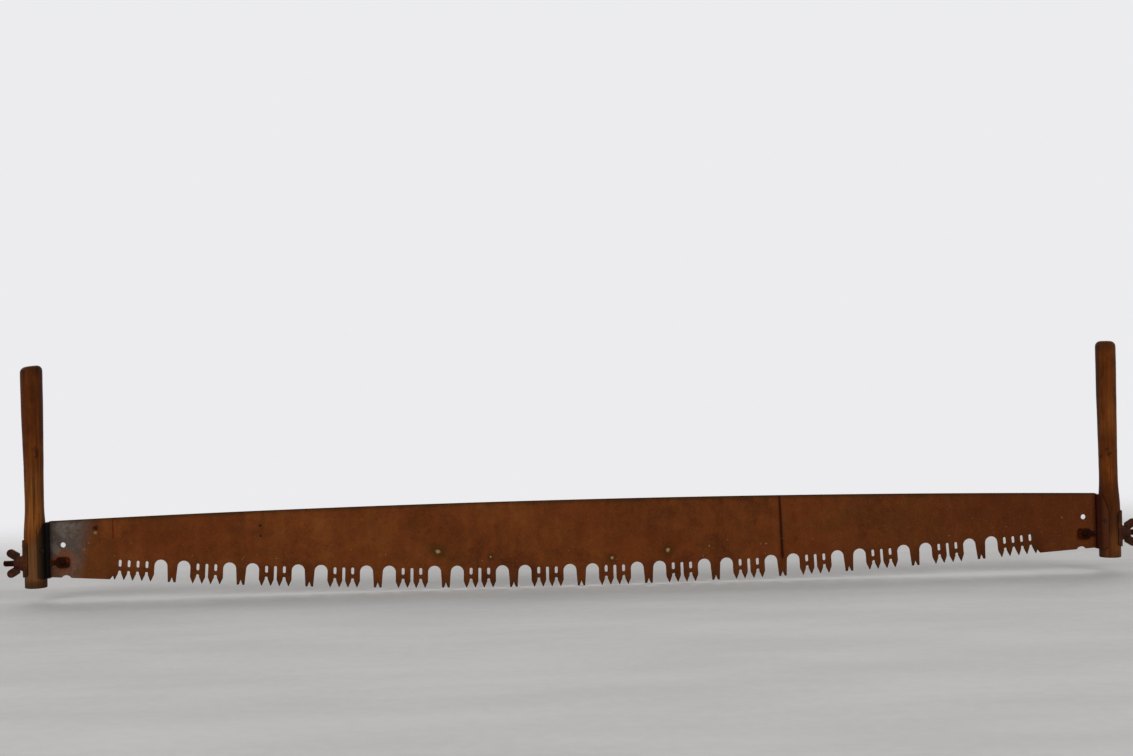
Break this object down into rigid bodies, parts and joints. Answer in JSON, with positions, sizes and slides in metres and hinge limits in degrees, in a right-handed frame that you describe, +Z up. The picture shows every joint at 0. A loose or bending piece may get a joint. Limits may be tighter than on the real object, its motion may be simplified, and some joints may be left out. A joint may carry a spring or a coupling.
{
  "type": "two-man crosscut saw",
  "caption": "Long toothed steel plate with groups of lance cutters between rakers, and an upright wooden handle at each end that a bolt, pin and wing nut draw onto the plate.",
  "frame": {"origin": "under the middle of the blade, in the plane of the plate, level with the lowest tooth points", "axes": "+X along the blade, +Z up towards the tops of the handles, +Y through the plate away from the side that the pins are put in from"},
  "size_m": [1.8154, 0.0362, 0.3719],
  "materials": {
    "blade_steel": "brown rust",
    "wood": "worn varnish",
    "guard_iron": "blackened",
    "plate_iron": "rusted",
    "bolt_steel": "rusted",
    "pin_steel": "rusted",
    "washer_steel": "rusted",
    "nut_iron": "rusted",
    "screw_steel": "rusted"
  },
  "bodies": {
    "blade_with_bolts": {"blade": "blade_steel", "left_draw_bolt": "bolt_steel", "right_draw_bolt": "bolt_steel"},
    "left_handle": {"left_grip": "wood", "left_guard": "guard_iron", "left_outer_plate": "plate_iron", "left_washer": "washer_steel", "left_guard_screw_front": "screw_steel", "left_guard_screw_back": "screw_steel", "left_plate_screw": "screw_steel"},
    "left_wing_nut": {"left_wing_nut": "nut_iron"},
    "left_cross_pin": {"left_cross_pin": "pin_steel"},
    "right_handle": {"right_grip": "wood", "right_guard": "guard_iron", "right_outer_plate": "plate_iron", "right_washer": "washer_steel", "right_guard_screw_front": "screw_steel", "right_guard_screw_back": "screw_steel", "right_plate_screw": "screw_steel"},
    "right_wing_nut": {"right_wing_nut": "nut_iron"},
    "right_cross_pin": {"right_cross_pin": "pin_steel"}
  },
  "joints": [
    {"name": "left_handle_draw", "type": "slide", "parent": "blade_with_bolts", "child": "left_handle", "axis": [-1, 0, 0], "range_m": [0, 0.0079]},
    {"name": "left_nut_turn", "type": "hinge", "parent": "left_handle", "child": "left_wing_nut", "pos_m": [-0.8812, 0, 0.0605], "axis": [-1, 0, 0], "range_deg": [0, 1800]},
    {"name": "left_pin_pull", "type": "slide", "parent": "blade_with_bolts", "child": "left_cross_pin", "axis": [0, -1, 0], "range_m": [0, 0.02]},
    {"name": "right_handle_draw", "type": "slide", "parent": "blade_with_bolts", "child": "right_handle", "axis": [1, 0, 0], "range_m": [0, 0.0079]},
    {"name": "right_nut_turn", "type": "hinge", "parent": "right_handle", "child": "right_wing_nut", "pos_m": [0.8812, 0, 0.0605], "axis": [1, 0, 0], "range_deg": [0, 1800]},
    {"name": "right_pin_pull", "type": "slide", "parent": "blade_with_bolts", "child": "right_cross_pin", "axis": [0, -1, 0], "range_m": [0, 0.02]}
  ],
  "couplings": [
    {"joint": "left_nut_turn", "follows": "left_handle_draw", "rad_per_m": 3957.9},
    {"joint": "right_nut_turn", "follows": "right_handle_draw", "rad_per_m": 3957.9}
  ]
}
